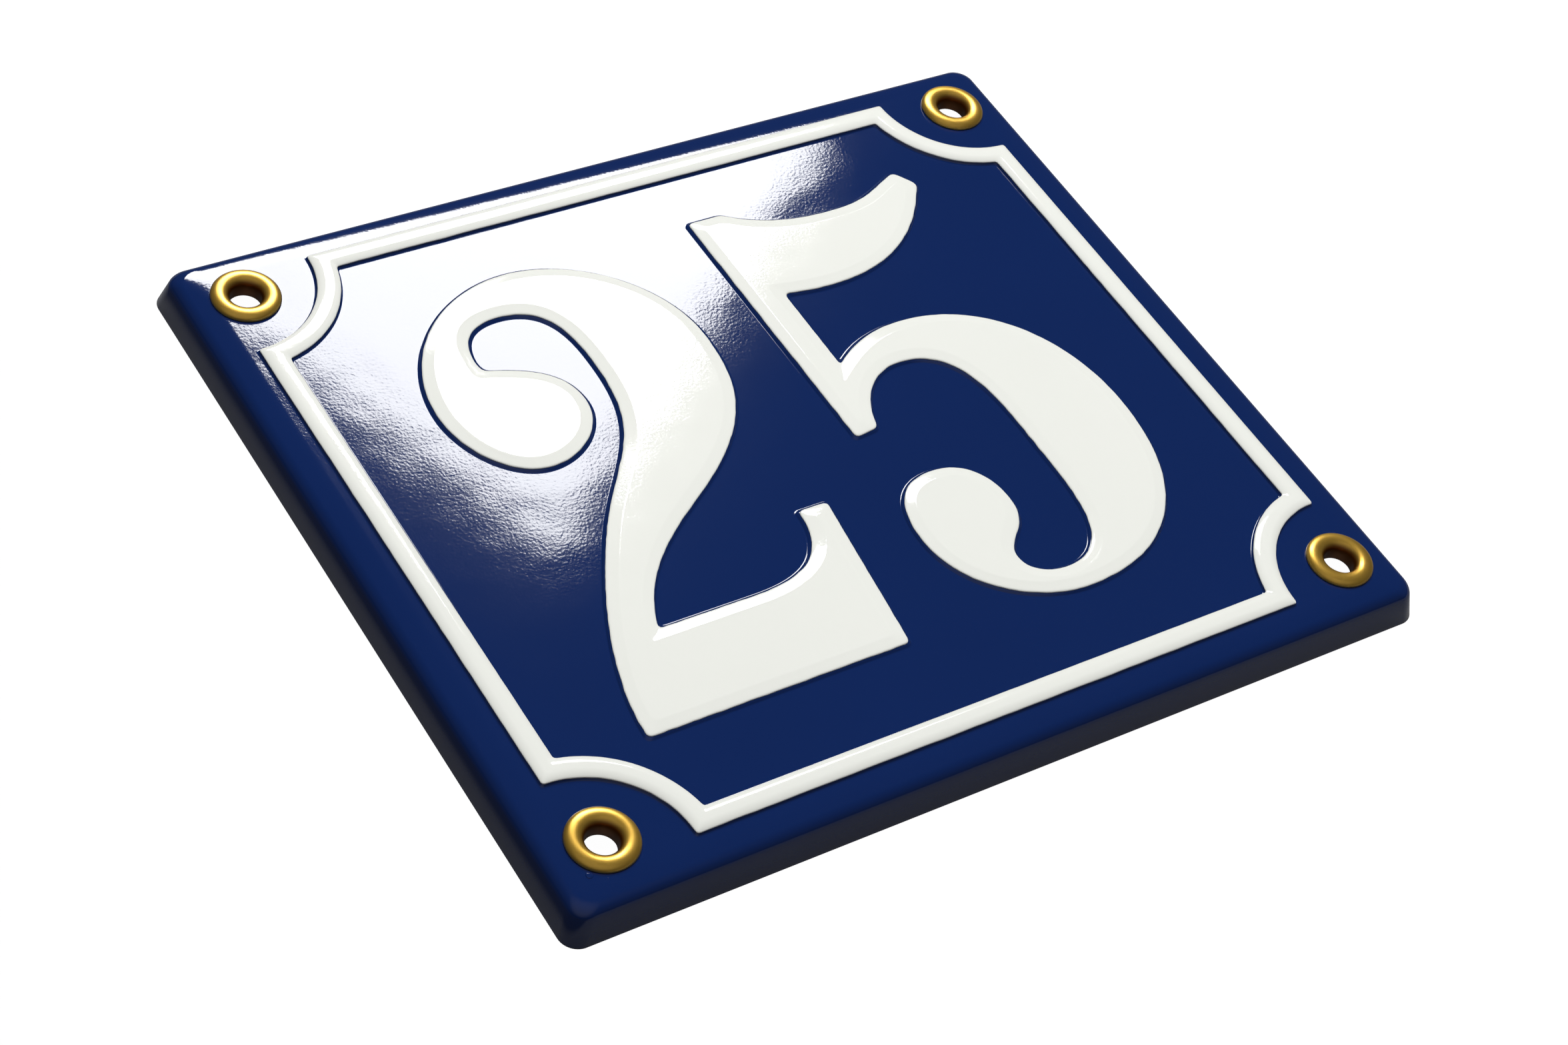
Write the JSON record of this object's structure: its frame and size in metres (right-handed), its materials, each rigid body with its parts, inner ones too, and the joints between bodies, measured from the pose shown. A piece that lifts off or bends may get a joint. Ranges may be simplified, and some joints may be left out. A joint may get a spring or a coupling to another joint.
{
  "type": "house number plaque",
  "caption": "Enamelled pressed-steel house number plaque with raised white numerals and border, turned-down rim and brass eyelets in its fixing holes.",
  "frame": {"origin": "under the middle of the plate, level with the foot of its turned-down rim", "axes": "+X along the number, +Y up the number, +Z out of the face; the plaque lies face up on its rim"},
  "size_m": [0.14, 0.12, 0.007],
  "materials": {
    "blue_enamel": "glossy deep blue vitreous enamel on pressed steel",
    "white_enamel": "glossy warm white vitreous enamel",
    "brass": "smooth bright brass, lightly scuffed"
  },
  "bodies": {
    "root": {"plaque": "blue_enamel", "white_enamel": "white_enamel", "eyelets": "brass"}
  },
  "joints": []
}
